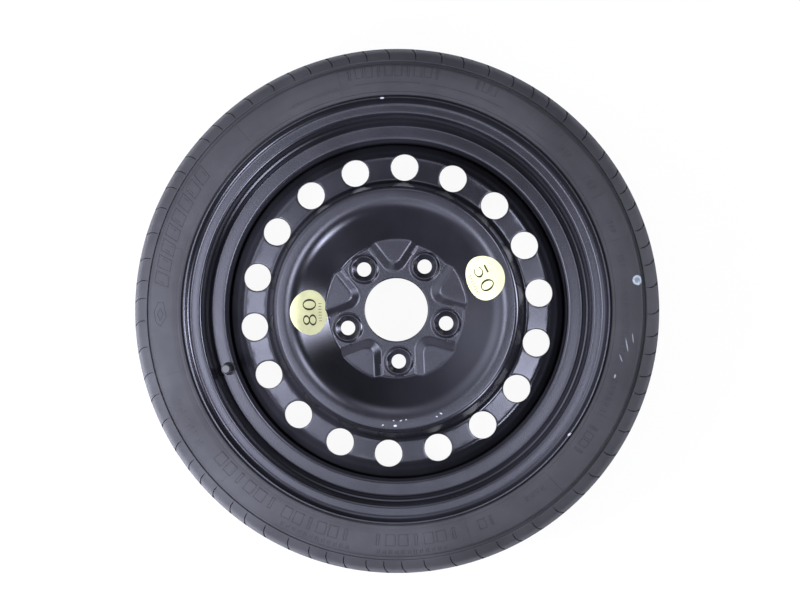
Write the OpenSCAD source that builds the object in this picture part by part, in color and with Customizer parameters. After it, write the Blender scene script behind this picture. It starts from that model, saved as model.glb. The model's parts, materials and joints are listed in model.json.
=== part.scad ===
// Space saver spare wheel: a narrow temporary tyre on a rolled steel rim that is welded
// to a deep pressed disc, with a snap-in valve and two speed stickers.
// The wheel's axis is Z, its outer face looks up, and Z = 0 is the hub mounting face.
// The photographed side looks along -Z, with +X to the right and +Y up.

/* [Rim] */
// Diameter of the bead seats
bead_d = 436.6; // [425:0.1:450]
// Width between the two flanges
rim_w = 101.6; // [96:0.1:110]
// Height of the flanges above the bead seats
flange_h = 17.5; // [16:0.5:20]
// Radius of the flange curl
curl_r = 9.5; // [8:0.5:11]
// Length of the straight lip beyond the flange curl
lip_l = 1; // [0.5:0.5:3]
// Thickness of the rim sheet
rim_t = 2.5; // [2:0.1:3]
// Width of the tapered bead seats
seat_w = 19.3; // [18:0.1:21]
// Taper angle of the bead seats
seat_taper = 5; // [4:0.5:6]
// Height of the safety hump on the outer bead seat
hump_h = 1; // [0.5:0.1:1.5]
// Width of the safety hump's slope
hump_w = 3; // [2.5:0.1:4]
// Width of the step between the safety hump and the ledge
step_w = 2.9; // [2:0.1:3.5]
// Outer radius of the drop centre
well_r = 192.5; // [188:0.5:194]
// Outer radius of the ledge that carries the valve
ledge_r = 211; // [209:0.5:213]
// Height of the ledge above the middle of the rim
ledge_h = 20; // [18:0.5:21]
// Distance of the inner end of the drop centre from the middle of the rim
well_in = 21; // [20:0.5:23]

/* [Disc] */
// Distance from the middle of the rim to the hub mounting face
offset = 41; // [35:0.5:46]
// Thickness of the disc sheet
disc_t = 4; // [3:0.1:4.4]
// Diameter of the centre bore
bore_d = 70.2; // [60:0.1:72]
// Rounding of the outer edge of the centre bore
bore_round = 1.4; // [0.8:0.1:2]
// Radius of the flat hub pad
pad_r = 75.5; // [74:0.5:78]
// Slope of the bowl between the pad and the crown
bowl_angle = 41; // [37:1:44]
// Height of the crown above the mounting face
crown_h = 36.5; // [32:0.5:38]
// Distance of the steep outer wall from the axis, at the crown's height
crown_r = 131.5; // [130:0.5:134]
// Radius of the inner side of the crown
crown_in_round = 28; // [20:1:29]
// Radius of the outer side of the crown
crown_out_round = 10; // [6:0.5:11]
// Slope of the steep outer wall
wall_angle = 76; // [73:1:80]
// Depth of the vent ring below the mounting face
vent_depth = 16; // [10:0.5:20]
// Rounding of the disc's shoulder at the rim
shoulder_round = 20; // [14:1:21]
// Distance of the disc's inner edge from the middle of the rim
disc_end = 12; // [8:0.5:14]

/* [Vents and bolts] */
// Number of vent holes
vent_count = 18; // [12:1:20]
// Diameter of the vent holes
vent_d = 31; // [20:0.5:34]
// Radius of the circle of vent holes
vent_circle_r = 161.6; // [160:0.5:164]
// Direction of the first vent hole
vent_phase = 6.8; // [0:0.1:20]
// Number of bolt holes
lug_count = 5; // [4:1:5]
// Diameter of the bolt circle
lug_circle_d = 115; // [108:0.1:118]
// Diameter of the bolt holes
lug_d = 16; // [14:0.5:17]
// Direction of the first bolt hole
lug_phase = -87.3; // [-90:0.1:-18]
// Outer diameter of the bolt seats at their mouth
seat_d = 26.8; // [25:0.2:28]
// Height of the coined collar round each bolt seat
collar_h = 2; // [1:0.1:3]
// Height of the raised pockets between the bolts
pocket_h = 3; // [2:0.5:5]
// Distance of the pockets' inner ends from the axis
pocket_in_r = 43; // [42:0.5:50]
// Width of the pockets' inner ends
pocket_in_w = 15.6; // [8:0.2:16]
// Opening angle of each side of a pocket
pocket_side = 36; // [34:1:45]
// Width of the pockets' sloping walls
pocket_wall = 8.5; // [6:0.5:9]
// Rounding of the pockets' inner corners
pocket_round = 10; // [4:1:14]

/* [Tyre] */
// Overall diameter of the tyre
tyre_d = 592.8; // [584:0.2:602]
// Section width of the tyre
tyre_w = 123.2; // [122.8:0.2:128]
// Width of the tread between its shoulder edges
tread_w = 84; // [78:1:88]
// Radius of the tread's arc from side to side
tread_arc = 200; // [150:5:300]
// Thickness of the tread
tread_t = 12; // [10:0.5:14]
// Height of the shoulder between the sidewall's rib and the top of the tread
shoulder_h = 25.2; // [24:0.1:27]
// Thickness of the sidewalls
side_t = 6.4; // [5:0.2:8]
// Depth of the grooves round the tread
groove_depth = 4; // [2:0.5:6]
// Width of the grooves round the tread
groove_w = 5; // [3:0.5:7]
// Width of the notches in the shoulders
notch_w = 1.6; // [1:0.1:2.4]
// Slant of the notches
notch_slant = 20; // [0:1:30]

/* [Valve] */
// Distance of the valve from the wheel's axis
valve_r = 200.5; // [200.5:0.1:201]
// Direction of the valve
valve_angle = 199.2; // [0:0.1:360]
// Diameter of the valve hole
valve_hole_d = 11.5; // [11:0.1:12]
// Diameter of the rubber ring that shows round the valve
ring_d = 15; // [14:0.1:16]
// Diameter of the rubber head inside the tyre
head_d = 12.8; // [12.4:0.1:12.8]
// Height of the rubber body above the ledge
body_h = 17; // [15:0.5:20]
// Diameter of the threaded valve mouth
mouth_d = 7.7; // [7.6:0.1:8]
// Length of the threaded valve mouth
mouth_l = 9; // [8:0.5:10]
// Outer diameter of the valve cap
cap_d = 10.6; // [10:0.1:12]
// Clearance between the cap and the mouth, on the radius
cap_gap = 0.08; // [0.05:0.01:0.1]
// Bore of the valve core's seat
core_d = 5.3; // [5.2:0.1:5.5]
// Diameter of the valve core's pin
pin_d = 1; // [0.9:0.1:1.1]
// Clearance round the valve core's pin, on the radius
pin_gap = 0.08; // [0.04:0.01:0.1]
// Diameter of the spring's wire
wire_d = 0.3; // [0.2:0.05:0.35]

/* [Stickers] */
// Diameter of the speed stickers
sticker_d = 49.5; // [40:0.5:54]
// Thickness of the speed stickers
sticker_t = 0.25; // [0.15:0.05:0.4]
// Direction of the kilometre sticker
km_angle = 182; // [0:1:360]
// Distance of the kilometre sticker from the axis
km_r = 95.5; // [94:0.5:98]
// Direction of the mile sticker
mile_angle = 19.5; // [0:0.5:360]
// Distance of the mile sticker from the axis
mile_r = 102.5; // [98:0.5:104]

/* [Hidden] */
$fn = 96;

// Lengths of the shoulder pitches, as steps of the tread pattern
short_pitch = 69;
mid_pitch = 87;
long_pitch = 102;
PITCHES = [
    long_pitch, mid_pitch, short_pitch, short_pitch, mid_pitch, short_pitch,
    short_pitch, mid_pitch, long_pitch, long_pitch, mid_pitch, short_pitch,
    mid_pitch, long_pitch, long_pitch, mid_pitch, long_pitch, long_pitch,
    mid_pitch, short_pitch, short_pitch, mid_pitch, short_pitch, mid_pitch
];
pitch_repeats = 3;

eps = 0.01;
bore_r = bore_d / 2;
rim_mid = -offset;
lip_r = bead_d / 2 + flange_h;
lip_z = rim_w / 2 + curl_r + lip_l;
seat_in_r = bead_d / 2 - seat_w * tan(seat_taper);
ledge_z = rim_mid + ledge_h;
disc_r = well_r - rim_t;
lug_r = lug_circle_d / 2;
tread_r = tyre_d / 2;

// Small vector helpers
function xy(p) = [p.x, p.y];
function unit(v) = v / norm(v);
function left_of(v) = [-v.y, v.x];
function reversed(list) = [for (i = [len(list) - 1:-1:0]) list[i]];
function on_circle(c, r, a) = [c.x + r * cos(a), c.y + r * sin(a)];

// Points of one rounded corner at b, between the straight lines to a and c
function corner(a, b, c, r, step) =
    let (
        u = unit(a - b),
        v = unit(c - b),
        turn = 180 - acos(u * v)
    )
    r <= 0 || turn < 0.5 ? [b] :
    let (
        start = b + u * r * tan(turn / 2),
        centre = b + unit(u + v) * r / cos(turn / 2),
        side = sign(cross(b - a, c - b)),
        from = atan2(start.y - centre.y, start.x - centre.x),
        n = max(2, ceil(turn / step))
    )
    [for (i = [0:n]) on_circle(centre, r, from + side * turn * i / n)];

// Length that the rounding at point i takes of each line that meets there
function rounding_length(path, i) =
    i <= 0 || i >= len(path) - 1 || path[i].z <= 0 ? 0 :
    let (
        u = unit(xy(path[i - 1]) - xy(path[i])),
        v = unit(xy(path[i + 1]) - xy(path[i]))
    )
    path[i].z * tan(90 - acos(u * v) / 2);

// The rounding at point i, made smaller where the lines beside it are too short
function fitted(path, i) =
    let (
        own = rounding_length(path, i),
        before = norm(xy(path[i]) - xy(path[i - 1])),
        after = norm(xy(path[i + 1]) - xy(path[i]))
    )
    own == 0 ? 0 :
    path[i].z * min(
        1,
        before / (own + rounding_length(path, i - 1)),
        after / (own + rounding_length(path, i + 1))
    );

// A path through [x, y, rounding] points, with its corners rounded in steps of some degrees
function rounded(path, step = 9) = [
    for (i = [0:len(path) - 1])
        each i == 0 || i == len(path) - 1 ? [xy(path[i])] :
            corner(xy(path[i - 1]), xy(path[i]), xy(path[i + 1]), fitted(path, i), step)
];

// The same path moved sideways by d, to its left where d is positive
function shifted(path, d) = [
    for (i = [0:len(path) - 1])
        let (
            last = len(path) - 1,
            before = unit(path[max(i, 1)] - path[max(i, 1) - 1]),
            after = unit(path[min(i, last - 1) + 1] - path[min(i, last - 1)]),
            side = left_of(unit(before + after))
        )
        path[i] + side * d / (side * left_of(before))
];

// The outline of a sheet of thickness t whose one side follows the path
function sheet(path, t) = concat(path, reversed(shifted(path, -t)));

// The tyre side of the rim from the outer lip to the inner lip, seen from the rim's middle
RIM_PATH = rounded([
    [lip_r, lip_z, 0],
    [lip_r, rim_w / 2, curl_r],
    [bead_d / 2, rim_w / 2, 6.5],
    [seat_in_r, rim_w / 2 - seat_w, 3],
    [seat_in_r + hump_h, rim_w / 2 - seat_w - hump_w, rim_t + 0.3],
    [ledge_r + step_w, rim_w / 2 - seat_w - hump_w - 1.9, 1],
    [ledge_r, ledge_h - rim_t, rim_t + 1.5],
    [well_r, ledge_h - rim_t, 1.5],
    [well_r, -well_in, 8],
    [seat_in_r, -rim_w / 2 + seat_w, 5],
    [bead_d / 2, -rim_w / 2, 6.5],
    [lip_r, -rim_w / 2, curl_r],
    [lip_r, -lip_z, 0]
]);

// The outer side of the disc from the bore to its edge in the rim
bowl_top_r = pad_r + (crown_h - disc_t) / tan(bowl_angle);
foot_r = crown_r + (crown_h + vent_depth) / tan(wall_angle);
DISC_PATH = rounded([
    [bore_r, disc_t, 0],
    [pad_r, disc_t, 5],
    [bowl_top_r, crown_h, crown_in_round],
    [crown_r, crown_h, crown_out_round],
    [foot_r, -vent_depth, 6],
    [disc_r, -vent_depth - 1, shoulder_round],
    [disc_r, rim_mid - disc_end, 0]
]);

// Everything on the visible side of the rim sheet, as one solid of revolution
module in_front_of_rim() {
    edge = shifted(RIM_PATH, -rim_t);
    translate([0, 0, rim_mid])
        rotate_extrude()
            polygon(concat([[0, lip_z + 5]], edge, [[0, -lip_z - 5]]));
}

module at_valve(z = 0) {
    rotate([0, 0, valve_angle])
        translate([valve_r, 0, ledge_z + z])
            children();
}

// The rolled rim. Its ledge has a round flat pressed into it for the valve.
module rim() {
    flat_r = ring_d / 2 + 1.6;
    color("#1c1c20")
    difference() {
        union() {
            translate([0, 0, rim_mid])
                rotate_extrude()
                    polygon(sheet(RIM_PATH, rim_t));
            difference() {
                at_valve(-rim_t)
                    cylinder(r = flat_r + rim_t, h = rim_t + 6);
                in_front_of_rim();
            }
        }
        at_valve()
            cylinder(r = flat_r, h = 12);
        at_valve(-rim_t - 1)
            cylinder(d = valve_hole_d, h = rim_t + 2);
    }
}

// The outline of a pocket at its foot, with X away from the wheel's axis
function pocket_outline() =
    let (
        far = pad_r + 34,
        near = pocket_in_w / 2,
        half = near + (far - pocket_in_r) * tan(pocket_side)
    )
    rounded([
        [far, -half, 0],
        [pocket_in_r, -near, pocket_round],
        [pocket_in_r, near, pocket_round],
        [far, half, 0]
    ]);

// A pocket's block: its walls slope in from the foot towards its raised floor
module pocket_block(h, shrink) {
    middle = pad_r;
    reach = (middle - pocket_in_r) * sin(pocket_side) + pocket_in_w / 2 * cos(pocket_side);
    translate([middle, 0, 0])
        linear_extrude(height = h, scale = 1 - pocket_wall / reach)
            translate([-middle, 0])
                offset(delta = -shrink)
                    polygon(pocket_outline());
}

module pockets(h, shrink) {
    for (i = [0:lug_count - 1])
        rotate([0, 0, lug_phase + (i + 0.5) * 360 / lug_count])
            pocket_block(h, shrink);
}

module lug_holes() {
    for (i = [0:lug_count - 1])
        rotate([0, 0, lug_phase + i * 360 / lug_count])
            translate([lug_r, 0, 0])
                children();
}

// The pressed disc: hub pad with raised pockets and coined bolt seats, bowl, crown,
// steep outer wall, vent ring, and the edge that is pressed into the rim
module disc() {
    rear = shifted(DISC_PATH, -disc_t);
    bowl_rear = [for (p = rear) if (p.x < crown_r - crown_out_round) p];
    seat_foot = disc_t * 0.4;
    seat_top = disc_t + collar_h;
    color("#19191c")
    difference() {
        union() {
            rotate_extrude()
                polygon(sheet(DISC_PATH, disc_t));
            intersection() {
                translate([0, 0, disc_t - eps])
                    pockets(pocket_h + eps, 0);
                rotate_extrude()
                    polygon(concat(bowl_rear, [[bowl_rear[len(bowl_rear) - 1].x, 60], [bore_r, 60]]));
            }
            lug_holes()
                cylinder(d1 = seat_d + 4 + disc_t, d2 = seat_d + 1, h = seat_top);
        }
        intersection() {
            translate([0, 0, -eps])
                pockets(pocket_h + eps, 1);
            cylinder(r = pad_r + pocket_h * 1.6, h = 3 * pocket_h, center = true);
        }
        lug_holes()
            translate([0, 0, -1])
                cylinder(d = lug_d, h = seat_top + 2);
        lug_holes()
            translate([0, 0, seat_foot])
                cylinder(d1 = lug_d + 1, d2 = seat_d, h = seat_top - seat_foot + eps);
        translate([0, 0, disc_t - bore_round])
            rotate_extrude()
                polygon(concat(
                    [[bore_r - 1, bore_round + 1], [bore_r - 1, 0]],
                    [for (a = [0:15:90]) [bore_r + bore_round * (1 - cos(a)), bore_round * sin(a)]],
                    [[bore_r + bore_round, bore_round + 1]]
                ));
        for (i = [0:vent_count - 1])
            rotate([0, 0, vent_phase + i * 360 / vent_count])
                translate([vent_circle_r, 0, -vent_depth - 20])
                    cylinder(d = vent_d, h = 30);
    }
}

// Fillet welds between the disc's inner edge and the drop centre
module weld_beads() {
    leg = 3.6;
    count = 8;
    z = rim_mid - disc_end;
    color("#2a2a2d")
    for (i = [0:count - 1])
        rotate([0, 0, (i + 0.2) * 360 / count])
            rotate_extrude(angle = 18)
                polygon([[disc_r, z], [disc_r, z - leg], [disc_r - leg * 0.45, z - leg * 0.65], [disc_r - leg, z]]);
}

// The tyre's outer side from the bead toe to the middle of the tread, from its middle plane
function tread_at(z) = tread_r - z * z / (2 * tread_arc);
edge_z = tread_w / 2;
max_z = tyre_w / 2;
rib_r = tread_r - shoulder_h;
toe_gap = 0.5;
TYRE_OUTSIDE = concat(
    rounded([
        [seat_in_r + toe_gap * tan(seat_taper), rim_w / 2 - seat_w + toe_gap, 0],
        [bead_d / 2, rim_w / 2, 7.5],
        [lip_r - curl_r, rim_w / 2, 0]
    ]),
    [for (a = [-81:9:-27]) on_circle([lip_r - curl_r, rim_w / 2 + curl_r], curl_r + 0.5, a)],
    rounded([
        [lip_r + 0.9, rim_w / 2 + curl_r - 3.4, 0],
        [lip_r + 2.2, max_z - 2.3, 1.5],
        [lip_r + 12, max_z, 14],
        [rib_r - 8.4, max_z, 30],
        [rib_r, max_z - 1.7, 0]
    ]),
    rounded([
        [rib_r + 0.6, max_z - 3.2, 0],
        [rib_r + 4.2, max_z - 4.3, 0.6],
        [rib_r + 5, max_z - 3.6, 0.5],
        [tread_r - 10, max_z - 10, 14],
        [tread_at(edge_z) - 2.2, edge_z + 4, 0],
        [tread_at(edge_z), edge_z, 0]
    ], 15)
);

// The tyre's air side from the middle of the tread to the bead toe
TYRE_INSIDE = rounded([
    [tread_r - tread_t, 0, 0],
    [tread_r - tread_t - 1.5, edge_z - 8, 22],
    [tread_r - tread_t - 14, max_z - side_t, 16],
    [lip_r + 4, max_z - side_t, 14],
    [bead_d / 2 + 5, rim_w / 2 - seat_w + 3, 6],
    [seat_in_r + 1.2, rim_w / 2 - seat_w - 0.2, 0]
]);

// Half of the tread's top line, with its grooves at the given distances from the middle
groove_z = [groove_w * 1.5, edge_z - groove_w * 2.4];
function groove(z) = [
    [tread_at(z + groove_w / 2), z + groove_w / 2],
    [tread_at(z) - groove_depth, z + groove_w / 3],
    [tread_at(z) - groove_depth, z - groove_w / 3],
    [tread_at(z - groove_w / 2), z - groove_w / 2]
];
TREAD_TOP = concat(
    groove(groove_z[1]),
    [[tread_at(groove_z[1] / 2 + groove_z[0] / 2), groove_z[1] / 2 + groove_z[0] / 2]],
    groove(groove_z[0])
);
TYRE_HALF = concat(TYRE_OUTSIDE, TREAD_TOP);
function flipped(path) = [for (p = reversed(path)) [p.x, -p.y]];

// Directions of the shoulder notches, from the running sum of the pitches
function sum_to(list, n) = n == 0 ? 0 : list[n - 1] + sum_to(list, n - 1);
pitch_total = sum_to(PITCHES, len(PITCHES)) * pitch_repeats;
NOTCHES = [
    for (turn = [0:pitch_repeats - 1])
        for (i = [0:len(PITCHES) - 1])
            360 * (turn / pitch_repeats + sum_to(PITCHES, i) / pitch_total)
];

// One shoulder notch: a thin slanted blade that follows the shoulder at the groove's depth
module notch() {
    edge = tread_at(edge_z);
    translate([edge, 0, edge_z])
        rotate(a = notch_slant, v = [1, 0, 1])
            rotate([90, 0, 0])
                linear_extrude(height = notch_w, center = true)
                    polygon([
                        [9, -13],
                        [-2.2, -13],
                        [-3.2, 2],
                        [-11.5, 12.6],
                        [9, 12.6]
                    ]);
}

module tyre() {
    color("#3a3b3f")
    difference() {
        translate([0, 0, rim_mid])
            rotate_extrude()
                polygon(tyre_loop());
        for (a = NOTCHES) {
            rotate([0, 0, a])
                translate([0, 0, rim_mid])
                    notch();
            rotate([0, 0, a + 1.5])
                translate([0, 0, rim_mid])
                    mirror([0, 0, 1])
                        notch();
        }
    }
}

function tyre_loop() = concat(
    TYRE_HALF,
    flipped(TYRE_HALF),
    flipped(TYRE_INSIDE),
    [for (i = [1:len(TYRE_INSIDE) - 1]) TYRE_INSIDE[i]]
);

// A speed sticker that lies on the bowl, round where it is seen square on
module sticker(angle, r, tilt) {
    zone = [for (p = DISC_PATH) if (p.x > pad_r - 6 && p.x < crown_r + 3 && p.y > disc_t - eps) p];
    height = disc_t + (r - pad_r) * tan(bowl_angle);
    difference() {
        intersection() {
            rotate_extrude()
                polygon(concat(zone, reversed(shifted(zone, sticker_t))));
            rotate([0, 0, angle])
                translate([r, 0, height])
                    rotate([0, -tilt, 0])
                        cylinder(d = sticker_d, h = 30, center = true);
        }
        translate([0, 0, disc_t - eps])
            pockets(pocket_h + eps, 0);
    }
}

module label_80() {
    color("#e6e79a")
    sticker(km_angle, km_r, bowl_angle);
}

module label_50() {
    color("#e6e79a")
    sticker(mile_angle, mile_r, bowl_angle - 7);
}

head_h = 6.5;
seat_z = 14;
mouth_z = body_h + mouth_l;

// The rubber snap-in stem, with its head in the tyre and its ring on the ledge
module valve_stem() {
    ring_h = 2.6;
    color("#222224")
    at_valve()
        rotate_extrude()
            polygon([
                [mouth_d / 2, -rim_t - head_h],
                [head_d / 2 - 1.4, -rim_t - head_h],
                [head_d / 2 - 0.2, -rim_t - head_h + 1.6],
                [head_d / 2, -rim_t],
                [valve_hole_d / 2, -rim_t],
                [valve_hole_d / 2, 0],
                [ring_d / 2, 0],
                [ring_d / 2, ring_h - 1],
                [ring_d / 2 - 0.5, ring_h - 0.3],
                [ring_d / 2 - 1.2, ring_h],
                [mouth_d / 2 + 2.1, ring_h + 0.6],
                [mouth_d / 2 + 1.3, body_h - 1],
                [mouth_d / 2 + 0.9, body_h],
                [mouth_d / 2, body_h]
            ]);
}

// The brass tube in the stem, with the step that the core seals on
module valve_insert() {
    low_r = core_d / 2 - 0.55;
    color("#b59a55")
    at_valve()
        rotate_extrude()
            polygon([
                [low_r, -rim_t - head_h],
                [mouth_d / 2, -rim_t - head_h],
                [mouth_d / 2, mouth_z - 0.6],
                [mouth_d / 2 - 0.5, mouth_z],
                [core_d / 2, mouth_z],
                [core_d / 2, seat_z + 0.8],
                [low_r, seat_z]
            ]);
}

cap_in_h = mouth_z + 1.1;
cap_h = cap_in_h + 1.4;

// The ribbed plastic cap
module valve_cap() {
    ribs = 24;
    color("#1b1b1d")
    at_valve()
        difference() {
            union() {
                rotate_extrude()
                    polygon([
                        [0, body_h + 0.2],
                        [cap_d / 2 - 0.3, body_h + 0.2],
                        [cap_d / 2 - 0.3, cap_h - 1.2],
                        [cap_d / 2 - 1.3, cap_h],
                        [0, cap_h]
                    ]);
                for (i = [0:ribs - 1])
                    rotate([0, 0, i * 360 / ribs])
                        translate([cap_d / 2 - 0.6, -0.3, body_h + 0.8])
                            cube([0.6, 0.6, cap_h - body_h - 2.2]);
            }
            translate([0, 0, body_h - 1])
                cylinder(d = mouth_d + 2 * cap_gap, h = cap_in_h - body_h + 1);
        }
}

// The rubber washer in the cap's roof
module cap_seal() {
    color("#303033")
    at_valve(mouth_z + 0.1)
        difference() {
            cylinder(d = mouth_d - 0.2, h = 1);
            translate([0, 0, -1])
                cylinder(d = core_d - 0.6, h = 3);
        }
}

plug_z = 19.4;
barrel_d = core_d - 1.5;
barrel_z = 8;
barrel_in_d = barrel_d - 0.9;
lip_t = 0.9;
gasket_z = seat_z + 0.9;

// The threaded plug of the valve core, with a flat each side for the key
module core_plug() {
    color("#c8ad62")
    at_valve(plug_z)
        difference() {
            cylinder(d = core_d - 0.02, h = 4.2);
            translate([0, 0, -1])
                cylinder(d = pin_d + 2 * pin_gap, h = 8);
            for (s = [-1, 1])
                translate([s * core_d / 2 - 0.9, -core_d, 2])
                    cube([1.8, 2 * core_d, 4]);
        }
}

// The barrel below the plug, with the lip that the pin's cup closes
module core_barrel() {
    color("#c8ad62")
    at_valve()
        rotate_extrude()
            polygon([
                [pin_d / 2 + 0.3, barrel_z],
                [barrel_d / 2, barrel_z],
                [barrel_d / 2, plug_z],
                [barrel_in_d / 2, plug_z],
                [barrel_in_d / 2, barrel_z + lip_t],
                [pin_d / 2 + 0.3, barrel_z + lip_t]
            ]);
}

// The sealing ring round the barrel, on the insert's step
module core_gasket() {
    color("#e8e4da")
    at_valve()
        rotate_extrude()
            polygon([
                [barrel_d / 2, gasket_z],
                [core_d / 2 - 0.05, gasket_z],
                [core_d / 2 - 0.05, gasket_z + 2],
                [barrel_d / 2, gasket_z + 2.4]
            ]);
}

cup_top = barrel_z - 1;
cup_h = 1.8;
collar_z = 17.2;

// The sprung pin, with the collar that the spring pushes up
module core_pin() {
    color("#d2bc78")
    at_valve()
        union() {
            translate([0, 0, cup_top - cup_h - 0.4])
                cylinder(d = pin_d, h = mouth_z - 0.5 - (cup_top - cup_h - 0.4), $fn = 48);
            translate([0, 0, collar_z])
                cylinder(d = barrel_in_d - 0.3, h = 0.7, $fn = 48);
        }
}

// The coil spring between the barrel's lip and the pin's collar
module core_spring() {
    turns = 6;
    per_turn = 14;
    sides = 6;
    low = barrel_z + lip_t + wire_d / 2;
    high = collar_z - wire_d / 2;
    coil_r = barrel_in_d / 2 - wire_d / 2 - 0.1;
    n = turns * per_turn;
    rings = [
        for (i = [0:n])
            for (j = [0:sides - 1])
                let (
                    a = 360 * i / per_turn,
                    b = 360 * j / sides,
                    r = coil_r + wire_d / 2 * cos(b)
                )
                [r * cos(a), r * sin(a), low + (high - low) * i / n + wire_d / 2 * sin(b)]
    ];
    skin = [
        for (i = [0:n - 1])
            for (j = [0:sides - 1])
                let (
                    p = i * sides + j,
                    q = i * sides + (j + 1) % sides
                )
                each [[p, q, q + sides], [p, q + sides, p + sides]]
    ];
    color("#aeb0b4")
    at_valve()
        polyhedron(
            rings,
            concat(
                skin,
                [[for (j = [sides - 1:-1:0]) j]],
                [[for (j = [0:sides - 1]) n * sides + j]]
            )
        );
}

// The cup on the pin's lower end
module core_cup() {
    color("#c8ad62")
    at_valve(cup_top - cup_h)
        difference() {
            cylinder(d = barrel_d - 0.2, h = cup_h, $fn = 48);
            translate([0, 0, -1])
                cylinder(d = pin_d, h = cup_h + 2, $fn = 48);
        }
}

// The rubber face of the cup, closed on the barrel's lip at rest
module core_cup_seal() {
    color("#2b2b2e")
    at_valve(cup_top)
        difference() {
            cylinder(d = barrel_d - 0.3, h = 1, $fn = 48);
            translate([0, 0, -1])
                cylinder(d = pin_d, h = 3, $fn = 48);
        }
}

tyre();
rim();
disc();
weld_beads();
label_80();
label_50();
valve_stem();
valve_insert();
valve_cap();
cap_seal();
core_plug();
core_barrel();
core_gasket();
core_pin();
core_spring();
core_cup();
core_cup_seal();
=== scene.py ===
"""The looks of the space saver spare wheel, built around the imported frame.

Sections are in millimetres, in the wheel's own frame: Z is the axis, the outer face looks up
and Z = 0 is the hub mounting face. Meshes are made in metres.
"""

import json
import math

import bmesh
import bpy
import numpy as np
from mathutils import Matrix, Vector

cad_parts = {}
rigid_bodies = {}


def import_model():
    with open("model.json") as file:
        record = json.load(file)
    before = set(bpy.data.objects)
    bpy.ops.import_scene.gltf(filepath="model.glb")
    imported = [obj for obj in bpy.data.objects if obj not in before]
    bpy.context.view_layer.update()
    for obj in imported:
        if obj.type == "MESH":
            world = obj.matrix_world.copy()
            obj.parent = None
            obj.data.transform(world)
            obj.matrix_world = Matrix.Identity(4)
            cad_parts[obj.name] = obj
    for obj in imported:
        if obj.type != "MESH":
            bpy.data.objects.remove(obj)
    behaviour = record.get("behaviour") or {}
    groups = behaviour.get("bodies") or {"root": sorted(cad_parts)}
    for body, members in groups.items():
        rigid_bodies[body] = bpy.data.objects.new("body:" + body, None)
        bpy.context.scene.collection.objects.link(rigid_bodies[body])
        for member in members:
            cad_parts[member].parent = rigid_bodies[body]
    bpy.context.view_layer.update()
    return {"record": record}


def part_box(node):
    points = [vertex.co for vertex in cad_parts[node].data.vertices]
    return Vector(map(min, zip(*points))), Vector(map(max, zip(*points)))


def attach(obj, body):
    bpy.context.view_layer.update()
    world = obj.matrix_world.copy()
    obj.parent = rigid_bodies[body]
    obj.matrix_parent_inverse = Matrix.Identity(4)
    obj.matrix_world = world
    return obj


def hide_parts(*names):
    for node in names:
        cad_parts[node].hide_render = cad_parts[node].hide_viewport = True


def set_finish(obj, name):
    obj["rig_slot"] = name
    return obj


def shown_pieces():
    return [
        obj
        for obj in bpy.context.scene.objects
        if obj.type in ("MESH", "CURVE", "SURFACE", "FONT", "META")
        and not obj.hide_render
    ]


for old in list(bpy.data.objects):
    bpy.data.objects.remove(old)

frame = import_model()

MM = 0.001


def box_mm(node):
    """Lowest and highest corner of a node in millimetres."""
    low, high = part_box(node)
    return np.array(low) / MM, np.array(high) / MM


# Sizes that the frame gives
RIM_LOW, RIM_HIGH = box_mm("rim")
TYRE_LOW, TYRE_HIGH = box_mm("tyre")
DISC_LOW, DISC_HIGH = box_mm("disc")
STEM_LOW, STEM_HIGH = box_mm("valve_stem")
CAP_LOW, CAP_HIGH = box_mm("valve_cap")
RIM_MID = (RIM_LOW[2] + RIM_HIGH[2]) / 2
LIP_R = 235.8
LIP_Z = RIM_HIGH[2] - RIM_MID
FLOOR_Z = min(TYRE_LOW[2], RIM_LOW[2])

# Rim section
BEAD_R = 218.3
HALF_W = 50.8
CURL_R = 9.5
RIM_T = 2.5
SEAT_W = 19.3
SEAT_IN_R = BEAD_R - SEAT_W * math.tan(math.radians(5))
HUMP_H = 1.0
HUMP_W = 3.0
STEP_W = 2.9
WELL_R = 192.5
LEDGE_R = 211.0
LEDGE_H = 20.0
WELL_IN = 21.0
LEDGE_Z = RIM_MID + LEDGE_H

# Disc section
DISC_T = 4.0
BORE_R = 35.1
BORE_ROUND = 1.4
PAD_R = 75.5
BOWL_ANGLE = math.radians(41)
CROWN_H = 36.5
CROWN_R = 134.0
VENT_DEPTH = 16.0
FOOT_R = 144.6
DISC_R = WELL_R - RIM_T
VENT_COUNT = 18
VENT_R = 15.5
VENT_CIRCLE_R = 161.6
VENT_PHASE = 6.8
LUG_COUNT = 5
LUG_CIRCLE_R = 57.5
LUG_R = 8.0
LUG_PHASE = -87.3
SEAT_R = 13.4
COLLAR_H = 2.0
POCKET_H = 3.0
POCKET_IN_R = 43.0
POCKET_IN_W = 15.6
POCKET_SIDE = math.radians(36)
POCKET_WALL = 8.5

# Tyre section
TYRE_R = 296.4
TYRE_HALF_W = 61.6
TREAD_HALF_W = 42.0
TREAD_ARC = 200.0
TREAD_T = 12.0
SIDE_T = 6.4
GROOVE_W = 5.0
GROOVE_DEPTH = 4.0
NOTCH_W = 2.3
PITCHES = [
    102, 87, 69, 69, 87, 69, 69, 87, 102, 102, 87, 69,
    87, 102, 102, 87, 102, 102, 87, 69, 69, 87, 69, 87,
]
PITCH_REPEATS = 3

# Valve and stickers
VALVE_R = 200.5
VALVE_ANGLE = math.radians(199.2)
VALVE_XY = np.array([VALVE_R * math.cos(VALVE_ANGLE), VALVE_R * math.sin(VALVE_ANGLE)])
STICKER_R = 24.75
STICKER_T = 0.25
KM_ANGLE, KM_R = 182.0, 95.5
MILE_ANGLE, MILE_R = 19.5, 102.5


# Paths


def unit(v):
    return v / np.linalg.norm(v)


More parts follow.
